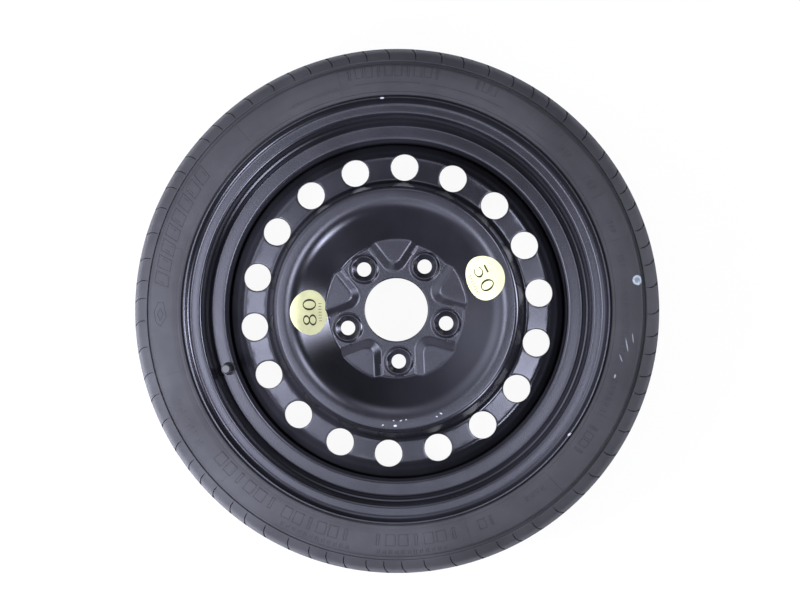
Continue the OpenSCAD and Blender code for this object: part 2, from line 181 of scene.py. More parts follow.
def corner(a, b, c, radius, step):
    """Points of one rounded corner at b, between the straight lines to a and c."""
    u, v = unit(a - b), unit(c - b)
    turn = math.pi - math.acos(max(-1.0, min(1.0, float(u @ v))))
    if radius <= 0 or turn < math.radians(0.5):
        return [b]
    start = b + u * radius * math.tan(turn / 2)
    centre = b + unit(u + v) * radius / math.cos(turn / 2)
    ab, bc = b - a, c - b
    side = math.copysign(1, ab[0] * bc[1] - ab[1] * bc[0])
    first = math.atan2(start[1] - centre[1], start[0] - centre[0])
    n = max(2, math.ceil(turn / math.radians(step)))
    return [
        centre + radius * np.array([math.cos(first + side * turn * i / n), math.sin(first + side * turn * i / n)])
        for i in range(n + 1)
    ]


def rounded(path, step=7):
    """A path through [x, y, rounding] points, with its corners rounded."""
    xy = [np.array(p[:2], float) for p in path]
    out = [xy[0]]
    for i in range(1, len(path) - 1):
        out += corner(xy[i - 1], xy[i], xy[i + 1], path[i][2], step)
    return np.array(out + [xy[-1]])


def refined(path, gap):
    """The same path with more points on its long straight stretches."""
    out = [path[0]]
    for a, b in zip(path[:-1], path[1:]):
        n = max(1, math.ceil(np.linalg.norm(b - a) / gap))
        out += [a + (b - a) * k / n for k in range(1, n + 1)]
    return np.array(out)


def left_normals(path):
    """Unit normals to the left of the path at its points."""
    d = np.diff(path, axis=0)
    d /= np.linalg.norm(d, axis=1)[:, None]
    before = np.vstack([d[:1], d])
    after = np.vstack([d, d[-1:]])
    t = before + after
    t /= np.linalg.norm(t, axis=1)[:, None]
    n = np.stack([-t[:, 1], t[:, 0]], 1)
    side = np.stack([-before[:, 1], before[:, 0]], 1)
    return n / (n * side).sum(1)[:, None]


def shifted(path, d):
    """The path moved sideways by d, to its left where d is positive."""
    return path + left_normals(path) * d


def smooth_step(t):
    t = np.clip(t, 0, 1)
    return t * t * (3 - 2 * t)


def smooth_max(a, b, k):
    h = np.clip(0.5 + 0.5 * (a - b) / k, 0, 1)
    return b + (a - b) * h + k * h * (1 - h)


# Meshes


def make_mesh(name, verts_mm, faces, weld=0.0, sharp=40):
    """A smooth shaded mesh object from points in millimetres."""
    mesh = bpy.data.meshes.new(name)
    mesh.from_pydata((np.asarray(verts_mm) * MM).tolist(), [], [tuple(int(i) for i in f) for f in faces])
    bm = bmesh.new()
    bm.from_mesh(mesh)
    if weld:
        bmesh.ops.remove_doubles(bm, verts=bm.verts, dist=weld * MM)
    bmesh.ops.recalc_face_normals(bm, faces=bm.faces)
    bm.to_mesh(mesh)
    bm.free()
    mesh.shade_smooth()
    mesh.set_sharp_from_angle(angle=math.radians(sharp))
    obj = bpy.data.objects.new(name, mesh)
    bpy.context.scene.collection.objects.link(obj)
    return obj


def grid_faces(rows, cols, close_rows=False, close_cols=False, offset=0):
    """Quads of a grid whose point (i, j) has the index offset + i * cols + j."""
    i = np.arange(rows if close_rows else rows - 1)
    j = np.arange(cols if close_cols else cols - 1)
    i, j = np.meshgrid(i, j, indexing="ij")
    i2, j2 = (i + 1) % rows, (j + 1) % cols
    quads = np.stack([i * cols + j, i * cols + j2, i2 * cols + j2, i2 * cols + j], -1)
    return (quads.reshape(-1, 4) + offset).tolist()


def spun(path, angles):
    """A grid of points: each path point turned to each angle, in radians."""
    r, z = path[:, 0][:, None], path[:, 1][:, None]
    a = np.asarray(angles)[None, :]
    return np.stack([r * np.cos(a), r * np.sin(a), z + 0 * a], -1)


def place(obj, body, slot, *nodes):
    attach(obj, body)
    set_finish(obj, slot)
    if nodes:
        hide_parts(*nodes)
    return obj


# Rim

RIM_OUTER = refined(rounded([
    [LIP_R, LIP_Z, 0],
    [LIP_R, HALF_W, CURL_R],
    [BEAD_R, HALF_W, 2.2],
    [SEAT_IN_R, HALF_W - SEAT_W, 3],
    [SEAT_IN_R + HUMP_H, HALF_W - SEAT_W - HUMP_W, RIM_T + 0.3],
    [LEDGE_R + STEP_W, HALF_W - SEAT_W - HUMP_W - 1.9, 1],
    [LEDGE_R, LEDGE_H - RIM_T, RIM_T + 2.2],
    [WELL_R, LEDGE_H - RIM_T, 4],
    [WELL_R, -WELL_IN, 8],
    [SEAT_IN_R, -HALF_W + SEAT_W, 5],
    [BEAD_R, -HALF_W, 6.5],
    [LIP_R, -HALF_W, CURL_R],
    [LIP_R, -LIP_Z, 0],
], 5), 3)


def rim_loop():
    """The closed section of the rim sheet, with rounded lip ends."""
    inner = shifted(RIM_OUTER, -RIM_T)[::-1]
    ends = 0.7
    outer = RIM_OUTER.copy()
    outer[0, 1] -= ends
    outer[-1, 1] += ends
    inner[0, 1] += ends
    inner[-1, 1] -= ends
    low = [[LIP_R - ends, -LIP_Z], [LIP_R - RIM_T + ends, -LIP_Z]]
    high = [[LIP_R - RIM_T + ends, LIP_Z], [LIP_R - ends, LIP_Z]]
    return np.vstack([outer, low, inner, high])


def rim_angles():
    """Column angles in radians, close together beside the valve."""
    base = np.radians(np.arange(0, 360, 1.0))
    near = 6.0
    off = (np.degrees(base) - math.degrees(VALVE_ANGLE) + 180) % 360 - 180
    far = base[np.abs(off) > near]
    fine = VALVE_ANGLE + np.radians(np.arange(-near, near + 0.01, 0.25))
    return np.sort(np.concatenate([far, fine]) % (2 * math.pi))


def build_rim():
    loop = rim_loop()
    angles = rim_angles()
    pts = spun(loop, angles)
    pts[..., 2] += RIM_MID
    # The round flat that is pressed into the ledge for the valve
    d = np.linalg.norm(pts[..., :2] - VALVE_XY, axis=-1)
    flat_r = 9.1
    wall = 2.2
    top = LEDGE_Z + 14 * smooth_step((d - flat_r) / wall)
    behind = np.zeros(len(loop), bool)
    behind[:len(RIM_OUTER)] = True
    near = (d < flat_r + wall) & (pts[..., 2] > LEDGE_Z - RIM_T - 1)
    seen = near & ~behind[:, None]
    rear = near & behind[:, None]
    pts[..., 2] = np.where(seen, np.minimum(pts[..., 2], top), pts[..., 2])
    pts[..., 2] = np.where(rear, np.minimum(pts[..., 2], top - RIM_T), pts[..., 2])
    faces = grid_faces(len(loop), len(angles), True, True)
    obj = make_mesh("rim_sheet", pts.reshape(-1, 3), faces)
    hole = cutter("valve_hole_cut", VALVE_XY, 5.75, LEDGE_Z - RIM_T / 2, 12)
    cut(obj, hole)
    return place(obj, "wheel", "black_paint", "rim")


def cutter(name, xy, radius, z, height, sides=64):
    a = np.linspace(0, 2 * math.pi, sides, endpoint=False)
    ring = np.stack([xy[0] + radius * np.cos(a), xy[1] + radius * np.sin(a)], -1)
    low = np.hstack([ring, np.full((sides, 1), z - height / 2)])
    high = np.hstack([ring, np.full((sides, 1), z + height / 2)])
    faces = grid_faces(2, sides, False, True)
    faces += [list(range(sides))[::-1], [sides + k for k in range(sides)]]
    return make_mesh(name, np.vstack([low, high]), faces)


def cut(obj, tool):
    """Takes the tool's solid out of the object, and deletes the tool."""
    mod = obj.modifiers.new("cut", "BOOLEAN")
    mod.object = tool
    mod.solver = "EXACT"
    deps = bpy.context.evaluated_depsgraph_get()
    mesh = bpy.data.meshes.new_from_object(obj.evaluated_get(deps))
    obj.modifiers.clear()
    obj.data = mesh
    bpy.data.objects.remove(tool)


# Disc

DISC_TOP = rounded([
    [BORE_R, DISC_T, 0],
    [PAD_R, DISC_T, 2.5],
    [PAD_R + (CROWN_H - DISC_T) / math.tan(BOWL_ANGLE), CROWN_H, 28],
    [CROWN_R, CROWN_H, 6],
    [FOOT_R, -VENT_DEPTH, 6],
    [172.5, -VENT_DEPTH - 2, 12],
    [DISC_R, -VENT_DEPTH - 17, 12],
    [DISC_R, DISC_LOW[2], 0],
], 4)
DISC_REAR = shifted(DISC_TOP, -DISC_T)
COLUMNS = 360
PAD_EDGE_R = 84.0
VENT_IN_R = 143.6
VENT_OUT_R = 181.0


def pocket_depth(x, y):
    """Distance inside the foot outline of the nearest pocket."""
    step = 2 * math.pi / LUG_COUNT
    first = math.radians(LUG_PHASE) + step / 2
    a = np.arctan2(y, x)
    a = (a - first + step / 2) % step - step / 2
    r = np.hypot(x, y)
    along, across = r * np.cos(a), np.abs(r * np.sin(a))
    inner = along - POCKET_IN_R
    side = (POCKET_IN_W / 2 + inner * math.tan(POCKET_SIDE) - across) * math.cos(POCKET_SIDE)
    return -smooth_max(-inner, -side, 6.0)


def pocket_rise(x, y, spread=0.0):
    """Height of the raised pockets, with rounded edges at the foot and the top."""
    t = np.clip((pocket_depth(x, y) - spread) / POCKET_WALL, -0.3, 1.3)
    e = 0.12
    low = np.where(t < e, np.clip(t + e, 0, None) ** 2 / (4 * e), t)
    top = np.where(t > 1 - e, 1 - np.clip(1 + e - t, 0, None) ** 2 / (4 * e), low)
    return POCKET_H * np.where(t < -e, 0, np.where(t > 1 + e, 1, top))


def lug_centres():
    a = np.radians(LUG_PHASE + np.arange(LUG_COUNT) * 360 / LUG_COUNT)
    return np.stack([LUG_CIRCLE_R * np.cos(a), LUG_CIRCLE_R * np.sin(a)], -1)


def collar_height(d):
    """Height over the pad round a bolt seat, at distance d from the hole's middle."""
    cone = (d - LUG_R - 0.5) * (DISC_T + COLLAR_H - 1.6) / (SEAT_R - LUG_R - 0.5) + 1.6 - DISC_T
    flank = COLLAR_H * (1 - smooth_step((d - SEAT_R - 0.7) / 2.6))
    return -smooth_max(-cone, -flank, 0.5)


def pad_top(xy):
    r = np.hypot(xy[..., 0], xy[..., 1])
    z = np.interp(r, DISC_TOP[:, 0], DISC_TOP[:, 1])
    raised = DISC_T + pocket_rise(xy[..., 0], xy[..., 1])
    z = np.where(r < PAD_R - 12, raised, smooth_max(z, raised, 1.2) - 0.3 * (np.abs(z - raised) < 0.01))
    for c in lug_centres():
        d = np.linalg.norm(xy - c, axis=-1)
        z = np.where(d < 17, np.maximum(z, DISC_T) + collar_height(d), z)
    return z


def pad_rear(xy):
    r = np.hypot(xy[..., 0], xy[..., 1])
    z = np.interp(r, DISC_REAR[:70, 0], DISC_REAR[:70, 1])
    return np.maximum(z, pocket_rise(xy[..., 0], xy[..., 1], 1.0) * (r < PAD_R + 6))


def sector_loop(inner, outer, middle, step, arc, side):
    """(radius or row, angle) points round a sector: inner arc, side, outer arc, side."""
    a = middle + np.linspace(-step / 2, step / 2, arc + 1)
    t = np.linspace(0, 1, side + 1)
    loop = [(inner, x) for x in a[:-1]]
    loop += [(inner + (outer - inner) * k, a[-1]) for k in t[:-1]]
    loop += [(outer, x) for x in a[:0:-1]]
    loop += [(outer + (inner - outer) * k, a[0]) for k in t[:-1]]
    return np.array(loop)


def pad_sector(k, height):
    """Rings from one bolt hole out to the borders of its sector of the pad."""
    step = 2 * math.pi / LUG_COUNT
    middle = math.radians(LUG_PHASE) + k * step
    loop = sector_loop(BORE_R + BORE_ROUND, PAD_EDGE_R, middle, step, COLUMNS // LUG_COUNT, 30)
    edge = np.stack([loop[:, 0] * np.cos(loop[:, 1]), loop[:, 0] * np.sin(loop[:, 1])], -1)
    c = lug_centres()[k]
    away = edge - c
    away /= np.linalg.norm(away, axis=1)[:, None]
    rings = [c + away * d for d in (LUG_R, LUG_R + 0.5, 9.6, 10.8, 12, 12.7, 13.2, 13.7, 14.2, 14.9, 15.8, 16.8, 18)]
    start = rings[-1]
    rings += [start + (edge - start) * t for t in np.linspace(0, 1, 22)[1:]]
    xy = np.array(rings)
    return np.concatenate([xy, height(xy)[..., None]], -1)


def vent_sector(k, path, rows):
    """Rings from one vent hole out to the borders of its sector, along a section path."""
    step = 2 * math.pi / VENT_COUNT
    middle = math.radians(VENT_PHASE) + k * step
    loop = sector_loop(rows[0], rows[1], 0, step, COLUMNS // VENT_COUNT, 14)
    index = np.arange(len(path))

    def row_of(r):
        return np.interp(r, path[:, 0], index)

    def at(row, a):
        r, z = np.interp(row, index, path[:, 0]), np.interp(row, index, path[:, 1])
        return np.stack([r * np.cos(middle + a), r * np.sin(middle + a), z], -1)

    r_edge = np.interp(loop[:, 0], index, path[:, 0])
    turn = np.arctan2(r_edge * np.sin(loop[:, 1]), r_edge * np.cos(loop[:, 1]) - VENT_CIRCLE_R)
    rings = []
    for d in (VENT_R, VENT_R + 0.3, VENT_R + 0.8):
        x, y = VENT_CIRCLE_R + d * np.cos(turn), d * np.sin(turn)
        rings.append(np.stack([row_of(np.hypot(x, y)), np.arctan2(y, x)], -1))
    for t in np.linspace(0, 1, 13)[1:]:
        rings.append(rings[2] + (loop - rings[2]) * t)
    out = np.array([at(ring[:, 0], ring[:, 1]) for ring in rings])
    return out


def build_disc():
    verts, faces = [], []

    def add(points, close_cols):
        rows, cols = points.shape[:2]
        offset = sum(len(v) for v in verts)
        verts.append(points.reshape(-1, 3))
        faces.extend(grid_faces(rows, cols, False, close_cols, offset))

    top = refined(DISC_TOP, 3)
    rear = shifted(top, -DISC_T)
    index = np.arange(len(top))
    monotone = top[:, 0] < DISC_R - 0.5
    limits = [float(np.interp(r, top[monotone, 0], index[monotone])) for r in (PAD_EDGE_R, VENT_IN_R, VENT_OUT_R)]
    start, vent_in, vent_out = limits
    pad_a = math.radians(LUG_PHASE) + math.pi / LUG_COUNT
    vent_a = math.radians(VENT_PHASE) + math.pi / VENT_COUNT
    shift = (vent_a - pad_a) % (2 * math.pi / COLUMNS)
    columns = np.arange(COLUMNS) * 2 * math.pi / COLUMNS + pad_a

    def band(path, first, last, twist):
        """Rows of the section between two row numbers, as a spun grid."""
        inner = np.arange(math.ceil(first + 0.2), math.floor(last - 0.2) + 1)
        rows = np.concatenate([[first], inner, [last]])
        r, z = np.interp(rows, index, path[:, 0]), np.interp(rows, index, path[:, 1])
        t = (rows - first) / (last - first)
        a = columns[None, :] + (twist[0] + (twist[1] - twist[0]) * t)[:, None]
        return np.stack([r[:, None] * np.cos(a), r[:, None] * np.sin(a), z[:, None] + 0 * a], -1)

    for path, height in ((top, pad_top), (rear, pad_rear)):
        for k in range(LUG_COUNT):
            add(pad_sector(k, height), True)
        bowl = band(path, start, vent_in, (0, shift))
        bowl[0, :, :2] *= (PAD_EDGE_R / np.linalg.norm(bowl[0, :, :2], axis=1))[:, None]
        bowl[0, :, 2] = height(bowl[0, :, :2])
        add(bowl, True)
        for k in range(VENT_COUNT):
            ring = vent_sector(k, path, (vent_in, vent_out))
            if path is top:
                ring[0, :, 2] -= 0.6
                ring[1, :, 2] -= 0.15
            add(ring, True)
        add(band(path, vent_out, len(path) - 1, (shift, shift)), True)

    # Walls that join the two sides: bolt holes, vents, bore and the inner edge
    for k in range(LUG_COUNT):
        a, b = pad_sector(k, pad_top)[0], pad_sector(k, pad_rear)[0]
        add(np.stack([a, b]), True)
    for k in range(VENT_COUNT):
        a, b = vent_sector(k, top, (vent_in, vent_out))[0], vent_sector(k, rear, (vent_in, vent_out))[0]
        a = a - [0, 0, 0.6]
        add(np.stack([a, b]), True)
    bore = [[BORE_R + BORE_ROUND * (1 - math.cos(t)), DISC_T - BORE_ROUND + BORE_ROUND * math.sin(t)]
            for t in np.radians(np.arange(90, -1, -15))]
    bore += [[BORE_R, 0.5], [BORE_R + 0.5, 0], [BORE_R + BORE_ROUND, 0]]
    add(spun(np.array(bore), columns), True)
    end = np.stack([
        spun(top[-1:], columns + shift)[0],
        spun(rear[-1:], columns + shift)[0],
    ])
    add(end, True)
    obj = make_mesh("disc_pressing", np.vstack(verts), faces, weld=0.01, sharp=42)
    return place(obj, "wheel", "black_paint", "disc")


# Tyre


def tread_at(z):
    return TYRE_R - z * z / (2 * TREAD_ARC)


def tyre_half():
    """The tyre's outer side from the bead toe to its middle plane, seen from that plane."""
    rib_r = LIP_R + 35.4
    bead = rounded([
        [SEAT_IN_R, HALF_W - SEAT_W, 0],
        [BEAD_R, HALF_W, 7.5],
        [LIP_R - CURL_R, HALF_W, 0],
    ], 12)
    a = np.radians(np.arange(-81, -26, 9))
    curl = np.stack([LIP_R - CURL_R + (CURL_R + 0.5) * np.cos(a), HALF_W + CURL_R + (CURL_R + 0.5) * np.sin(a)], -1)
    side = rounded([
        [LIP_R + 0.9, HALF_W + CURL_R - 3.4, 0],
        [LIP_R + 2.2, TYRE_HALF_W - 2.3, 1.5],
        [LIP_R + 5.4, TYRE_HALF_W - 1.2, 0.8],
        [LIP_R + 5.9, TYRE_HALF_W - 1.7, 0.3],
        [LIP_R + 8.0, TYRE_HALF_W - 1.0, 0.8],
        [LIP_R + 12, TYRE_HALF_W, 14],
        [LIP_R + 27, TYRE_HALF_W, 30],
        [rib_r, TYRE_HALF_W - 1.7, 0],
    ], 6)
    shoulder = rounded([
        [rib_r + 0.5, TYRE_HALF_W - 2.6, 0],
        [rib_r + 1.2, TYRE_HALF_W - 5.4, 0.5],
        [rib_r + 3.9, TYRE_HALF_W - 5.9, 0.5],
        [rib_r + 4.6, TYRE_HALF_W - 3.6, 0.7],
        [TYRE_R - 10, TYRE_HALF_W - 10, 16],
        [tread_at(TREAD_HALF_W) - 2.2, TREAD_HALF_W + 4, 5],
        [tread_at(TREAD_HALF_W), TREAD_HALF_W, 3],
        [tread_at(TREAD_HALF_W - 5), TREAD_HALF_W - 5, 0],
    ], 7)
    grooves = [TREAD_HALF_W - GROOVE_W * 2.4, GROOVE_W * 1.5]
    tread = []
    for z in grooves:
        for dz, depth in ((0.5, 0), (0.44, 0.4), (0.34, 0.94), (0.28, 1), (-0.28, 1), (-0.34, 0.94), (-0.44, 0.4), (-0.5, 0)):
            zz = z + dz * GROOVE_W
            tread.append([tread_at(zz) - GROOVE_DEPTH * depth, zz])
        below = z - GROOVE_W / 2
        tread += [[tread_at(zz), zz] for zz in ((below - 3, below - 6, below - 9) if z > 10 else (below - 1.2,))]
    return np.vstack([bead, curl, refined(side, 4), refined(shoulder, 3.5), np.array(tread)])


def tyre_inside():
    return rounded([
        [TYRE_R - TREAD_T, 0, 0],
        [TYRE_R - TREAD_T - 1.5, TREAD_HALF_W - 8, 22],
        [TYRE_R - TREAD_T - 14, TYRE_HALF_W - SIDE_T, 16],
        [LIP_R + 4, TYRE_HALF_W - SIDE_T, 14],
        [BEAD_R + 5, HALF_W - SEAT_W + 3, 6],
        [SEAT_IN_R + 1.2, HALF_W - SEAT_W - 0.2, 0],
    ], 20)


def flipped(path):
    return path[::-1] * [1, -1]


def notch_angles():
    """Directions of the shoulder notches, from the running sum of the pitch lengths."""
    total = sum(PITCHES) * PITCH_REPEATS
    run = np.cumsum([0] + PITCHES * PITCH_REPEATS)[:-1]
    return 2 * math.pi * run / total


def build_tyre():
    half = tyre_half()
    inside = tyre_inside()
    loop = np.vstack([half, flipped(half), flipped(inside), inside[1:]])
    outer = 2 * len(half)
    z = loop[:, 1]
    r = loop[:, 0]
    edge = tread_at(TREAD_HALF_W)
    starts = notch_angles()
    gaps = np.diff(np.append(starts, 2 * math.pi))
    # How deep a notch is at each row, how wide, and how far it is slanted
    height = np.abs(z)
    on_shoulder = (r > edge - 14.5) & (height < TYRE_HALF_W - 3) & (height > TREAD_HALF_W - 13)
    on_shoulder[outer:] = False
    reach = np.clip((edge - r) / 14.5, 0, 1)
    depth = np.where(on_shoulder & (height > TREAD_HALF_W - 9.6), 3.2 * (1 - reach ** 2) + 0.35, 0)
    width = NOTCH_W * (0.45 + 0.75 * np.exp(-((height - TREAD_HALF_W - 1) / 4.0) ** 2))
    slant = np.radians(np.clip((height - TREAD_HALF_W) / 12, -0.9, 1) * 1.05)
    slant = np.where(z > 0, -slant, slant)
    slant[outer:] = np.interp(np.arange(outer, len(loop)), [outer, len(loop) - 1], [slant[outer - 1], slant[0]])
    stagger = np.radians(1.5) * smooth_step((6 - z) / 12)
    stagger[outer:] = np.interp(np.arange(outer, len(loop)), [outer, len(loop) - 1], [stagger[outer - 1], 0])
    # Columns: the two walls and the floor of each notch, then the block behind it
    marks = np.array([-0.5, -0.28, 0.28, 0.5])
    in_notch = np.array([False, True, True, False, False, False, False])
    blocks = np.array([0.12, 0.5, 0.88])
    columns = []
    for start, gap in zip(starts, gaps):
        for m in marks:
            columns.append(start + m * width / r)
        for b in blocks:
            lo, hi = start + 0.5 * width / r, start + gap - 0.5 * width / r
            columns.append(lo + (hi - lo) * b)
    angle = np.array(columns).T + (slant + stagger)[:, None]
    sunk = np.tile(in_notch, len(starts))[None, :] * depth[:, None]
    # Sink the notch along the section's own normal
    closed = np.vstack([loop[-1:], loop, loop[:1]])
    inward = -left_normals(closed)[1:-1]
    inward /= np.linalg.norm(inward, axis=1)[:, None]
    rr = r[:, None] + inward[:, :1] * sunk
    zz = z[:, None] + inward[:, 1:] * sunk
    pts = np.stack([rr * np.cos(angle), rr * np.sin(angle), zz + RIM_MID], -1)
    faces = grid_faces(pts.shape[0], pts.shape[1], True, True)
    obj = make_mesh("tyre_body", pts.reshape(-1, 3), faces, sharp=50)
    return place(obj, "wheel", "tyre_rubber", "tyre")


# Thin raised strokes on a curved surface


def ribbon(line, widths, height, closed=False, base=-0.1):
    """Rows of four (u, v, h) points that make a raised stroke along a flat line."""
    line = np.asarray(line, float)
    widths = np.broadcast_to(np.asarray(widths, float), (len(line),)).copy()
    if closed:
        around = np.vstack([line[-1:], line, line[:1]])
        normal = left_normals(around)[1:-1]
    else:
        normal = left_normals(line)
    normal /= np.maximum(1, np.linalg.norm(normal, axis=1) / 1.5)[:, None]
    half = widths[:, None] / 2
    slope = min(0.25, widths.min() / 4)
    rows = []
    for side, h in ((-1, base), (-1, height), (1, height), (1, base)):
        reach = half - (slope if h == height else 0)
        rows.append(np.hstack([line + normal * side * reach, np.full((len(line), 1), h)]))
    grid = np.stack(rows, 1)
    if not closed:
        first, last = grid[:1].copy(), grid[-1:].copy()
        first[..., 2] = base
        last[..., 2] = base
        first[..., :2] += (line[0] - line[1]) / np.linalg.norm(line[0] - line[1]) * slope
        last[..., :2] += (line[-1] - line[-2]) / np.linalg.norm(line[-1] - line[-2]) * slope
        grid = np.concatenate([first, grid, last])
    return grid


def ellipse(centre, a, b, start=0, end=360, n=40):
    t = np.radians(np.linspace(start, end, n, endpoint=abs(end - start) < 359.9))
    return np.stack([centre[0] + a * np.cos(t), centre[1] + b * np.sin(t)], 1), t


def stroke_mesh(name, strokes, mapped, sharp=40):
    """One mesh from raised strokes, each given as (grid, closed)."""
    verts, faces, offset = [], [], 0
    for grid, closed in strokes:
        pts = mapped(grid[..., 0], grid[..., 1], grid[..., 2])
        verts.append(pts.reshape(-1, 3))
        faces += grid_faces(grid.shape[0], grid.shape[1], closed, False, offset)
        offset += pts.shape[0] * pts.shape[1]
    return make_mesh(name, np.vstack(verts), faces, sharp=sharp)


# Stickers

PATH_LENGTH = np.concatenate([[0], np.cumsum(np.linalg.norm(np.diff(DISC_TOP, axis=0), axis=1))])
PATH_NORMALS = left_normals(DISC_TOP)


def on_bowl(angle, r0, turn):
    """A map from a flat sheet to the bowl's cone: u reads clockwise, v points outward."""
    rho0 = r0 / math.cos(BOWL_ANGLE)
    length0 = np.interp(r0, DISC_TOP[:, 0], PATH_LENGTH)
    a0, t = math.radians(angle), math.radians(turn)

    def mapped(u, v, h):
        x = rho0 + v * math.cos(t) + u * math.sin(t)
        y = u * math.cos(t) - v * math.sin(t)
        rho, phi = np.hypot(x, y), np.arctan2(y, x)
        length = length0 + rho - rho0
        r = np.interp(length, PATH_LENGTH, DISC_TOP[:, 0])
        z = np.interp(length, PATH_LENGTH, DISC_TOP[:, 1])
        nr = np.interp(length, PATH_LENGTH, PATH_NORMALS[:, 0])
        nz = np.interp(length, PATH_LENGTH, PATH_NORMALS[:, 1])
        theta = a0 - phi / math.cos(BOWL_ANGLE)
        r, z = r + nr * h, z + nz * h
        return np.stack([r * np.cos(theta), r * np.sin(theta), z], -1)

    return mapped


def digit(kind, x):
    """Strokes of a digit that stands 18.6 mm high, with its middle at x."""
    ink = 0.07
    out = []
    if kind == "0":
        line, t = ellipse((x, 0), 5.2, 8.5)
        out.append((ribbon(line, 1.3 + 1.0 * np.cos(t) ** 2, ink, True, 0), True))
    if kind == "8":
        for centre, a, b in (((x, -4.1), 5.2, 4.5), ((x, 4.6), 4.5, 3.9)):
            line, t = ellipse(centre, a, b)
            out.append((ribbon(line, 1.3 + 0.8 * np.cos(t) ** 2, ink, True, 0), True))
    if kind == "5":
        line, t = ellipse((x - 0.4, -3.0), 5.4, 5.5, 137, -146, 30)
        out.append((ribbon(line, 1.1 + 1.1 * np.clip(np.cos(t), 0, 1) ** 2, ink, False, 0), False))
        out.append((ribbon([(x - 4.4, 0.6), (x - 3.5, 8.6)], 1.2, ink, False, 0), False))
        out.append((ribbon([(x - 3.9, 8.2), (x + 4.8, 8.2)], 2.2, ink, False, 0), False))
    return out


def build_sticker(node, number, angle, r0, turn, tick_v):
    mapped = on_bowl(angle, r0, turn)
    radii = [0, 4, 8, 12, 16, 20, 23, STICKER_R - 0.25, STICKER_R, STICKER_R + 0.02]
    heights = [STICKER_T] * 8 + [STICKER_T - 0.08, 0.0]
    a = np.linspace(0, 2 * math.pi, 96, endpoint=False)
    u, v = np.outer(radii, np.cos(a)), np.outer(radii, np.sin(a))
    pts = mapped(u, v, np.array(heights)[:, None] + 0 * u)
    obj = make_mesh("sticker_" + number, pts.reshape(-1, 3), grid_faces(len(radii), len(a), False, True), 0.001)
    place(obj, "wheel", "sticker", node)
    strokes = digit(number[0], -8.4) + digit(number[1], 8.6)
    for k in range(7):
        x = -9.6 + 3.2 * k
        strokes.append((ribbon([(x, tick_v - 2), (x, tick_v + 2)], 0.6, 0.05, False, 0), False))
    lifted = [(g + [0, 0, STICKER_T], closed) for g, closed in strokes]
    ink = stroke_mesh("digits_" + number, lifted, mapped)
    place(ink, "wheel", "sticker")
    ink["ink"] = True


# Raised marks on the sidewall: plain bars and outlined lozenges where the photo has lettering

PX = 1 / 0.909
PX_PER_M = 908.8
# (first angle, last angle, radius and height in the photo's pixels, kind, letters)
MARKS = [
    (174.6, 143.6, 237.2, 13.6, "lozenge", 8),
    (185.2, 177.2, 237.0, 12.5, "double", 1),
    (102.6, 78.8, 240.0, 10.5, "frame", 10),
    (71.0, 64.8, 240.0, 10.0, "frame", 3),
    (56.0, 46.0, 239.0, 6.5, "bars", 7),
    (44.4, 41.0, 231.5, 6.0, "bars", 3),
    (35.4, 31.0, 231.5, 7.0, "bars", 3),
    (22.5, 19.2, 231.0, 5.0, "bars", 3),
    (13.9, 10.4, 230.0, 6.5, "bars", 3),
    (7.5, 0.4, 228.5, 6.0, "bars", 5),
    (359.4, 347.5, 229.0, 6.5, "bars", 8),
    (342.5, 333.2, 229.0, 6.5, "bars", 6),
    (330.0, 321.2, 229.6, 8.5, "frame", 4),
    (310.0, 303.8, 229.6, 5.5, "bars", 4),
    (295.6, 290.6, 230.3, 9.5, "frame", 2),
    (286.0, 263.8, 230.3, 11.0, "frame", 7),
    (258.8, 240.2, 230.3, 11.4, "frame", 6),
    (238.8, 218.8, 230.0, 11.4, "frame", 6),
    (282.5, 265.0, 242.0, 4.0, "bars", 12),
    (259.0, 241.2, 242.0, 4.0, "bars", 12),
    (215.0, 202.0, 238.0, 8.0, "bars", 6),
]
# Thin raised lines across the sidewall and along it
CROSS_LINES = [44.7, 29.4, 17.5, 332.8, 312.5, 288.0, 224.6, 196.0, 164.4, 131.0, 104.0]
ROUND_LINES = [(119, 104.5, 227.6), (118, 105, 229.2), (101, 84, 228.4), (82, 62, 228.2), (56, 49, 225.2)]


def sidewall_map():
    half = tyre_half()
    top = half[(half[:, 0] > LIP_R + 3) & (half[:, 1] > TYRE_HALF_W - 3)]
    top = top[np.argsort(top[:, 0])]

    def mapped(u, v, h):
        z = np.interp(v, top[:, 0], top[:, 1])
        theta = np.radians(u)
        return np.stack([v * np.cos(theta), v * np.sin(theta), z + h + RIM_MID], -1)

    return mapped


def letter(kind, w, h, k):
    """Flat closed outlines or bars of one mark, w by h, round its own middle."""
    lean = 0.28 * h if kind in ("lozenge", "double") else 0
    x, y = w / 2, h / 2
    if kind == "lozenge":
        cut = 0.28 * w * (1 if k % 2 else -1)
        return [([(-x - lean / 2, -y), (x - lean / 2, -y), (x + lean / 2, y), (-x + lean / 2, y)], True),
                ([(cut - lean / 4, -y * 0.4), (cut + lean / 4, y * 0.4)], False)]
    if kind == "double":
        return [([(-x, 0), (-x * 0.2, -y), (x, -y * 0.5), (x, y * 0.3), (x * 0.2, y), (-x * 0.7, y * 0.7)], True),
                ([(-x * 0.5, 0), (0, -y * 0.45), (x * 0.5, 0), (0, y * 0.45)], True)]
    if kind == "frame":
        return [([(-x, -y), (x, -y), (x, y), (-x, y)], True)] if k % 3 else [([(-x * 0.3, -y), (x * 0.3, -y), (x * 0.3, y), (-x * 0.3, y)], True)]
    return [([(-x * 0.6, -y), (-x * 0.6, y)], False), ([(x * 0.5, -y * (0.4 + 0.6 * (k % 2))), (x * 0.5, y)], False)]


